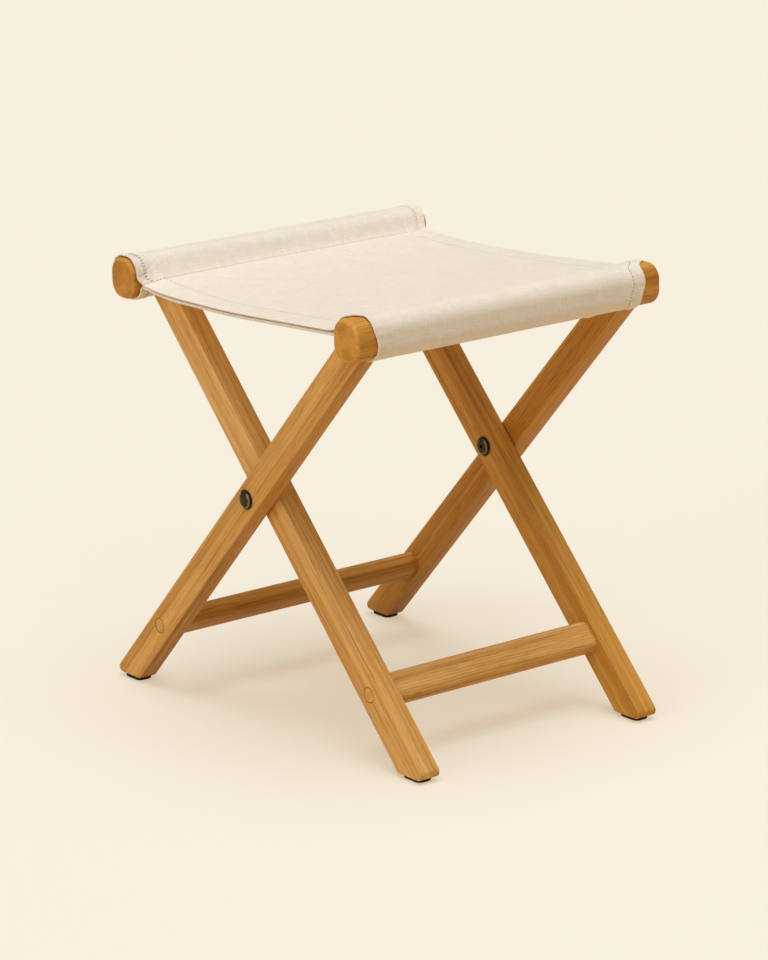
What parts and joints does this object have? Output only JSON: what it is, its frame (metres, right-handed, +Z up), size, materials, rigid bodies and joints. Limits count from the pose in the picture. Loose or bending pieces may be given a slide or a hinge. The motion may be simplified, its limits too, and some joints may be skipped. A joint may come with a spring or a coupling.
{
  "type": "folding camping stool",
  "caption": "Folding stool with two crossed wooden frames on pivot bolts and a doubled canvas seat slung between round-edged rails.",
  "frame": {"origin": "on the floor, midway between the four feet, under the pivot bolts", "axes": "+X from the left rail to the right rail, +Y along the rails from near to far, +Z up"},
  "size_m": [0.4684, 0.372, 0.449],
  "materials": {
    "wood": "honey-brown oiled hardwood, straight grain, satin",
    "dowel_wood": "plain turned dowel, hidden",
    "plug_wood": "wooden plug, a little darker than the leg, satin",
    "canvas": "undyed cotton-linen canvas, plain weave with slubs",
    "antique_brass": "dark antique brass",
    "pad": "dark brown-black rubber",
    "steel": "plain steel, hidden"
  },
  "bodies": {
    "outer_frame": {"outer_leg_near": "wood", "outer_leg_far": "wood", "right_rail": "wood", "outer_stretcher": "wood", "outer_rail_dowels": "dowel_wood", "outer_stretcher_screws": "steel", "outer_stretcher_plugs": "plug_wood", "outer_foot_pad_near": "pad", "outer_foot_pad_far": "pad", "outer_pad_tacks": "steel", "pivot_bolt_near": "antique_brass", "pivot_bolt_far": "antique_brass", "pivot_sleeve_near": "antique_brass", "pivot_sleeve_far": "antique_brass", "bolt_washer_near": "antique_brass", "bolt_washer_far": "antique_brass", "sleeve_washer_near": "antique_brass", "sleeve_washer_far": "antique_brass", "spacer_washer_near": "antique_brass", "spacer_washer_far": "antique_brass", "right_sleeve": "canvas", "seat_upper_layer": "canvas", "seat_under_layer": "canvas"},
    "inner_frame": {"inner_leg_near": "wood", "inner_leg_far": "wood", "left_rail": "wood", "inner_stretcher": "wood", "inner_rail_dowels": "dowel_wood", "inner_stretcher_screws": "steel", "inner_stretcher_plugs": "plug_wood", "inner_foot_pad_near": "pad", "inner_foot_pad_far": "pad", "inner_pad_tacks": "steel", "left_sleeve": "canvas"}
  },
  "joints": [
    {"name": "fold", "type": "hinge", "parent": "outer_frame", "child": "inner_frame", "pos_m": [0, 0, 0.236], "axis": [0, 1, 0], "range_deg": [0, 74], "deforming": ["seat_upper_layer", "seat_under_layer"]}
  ]
}
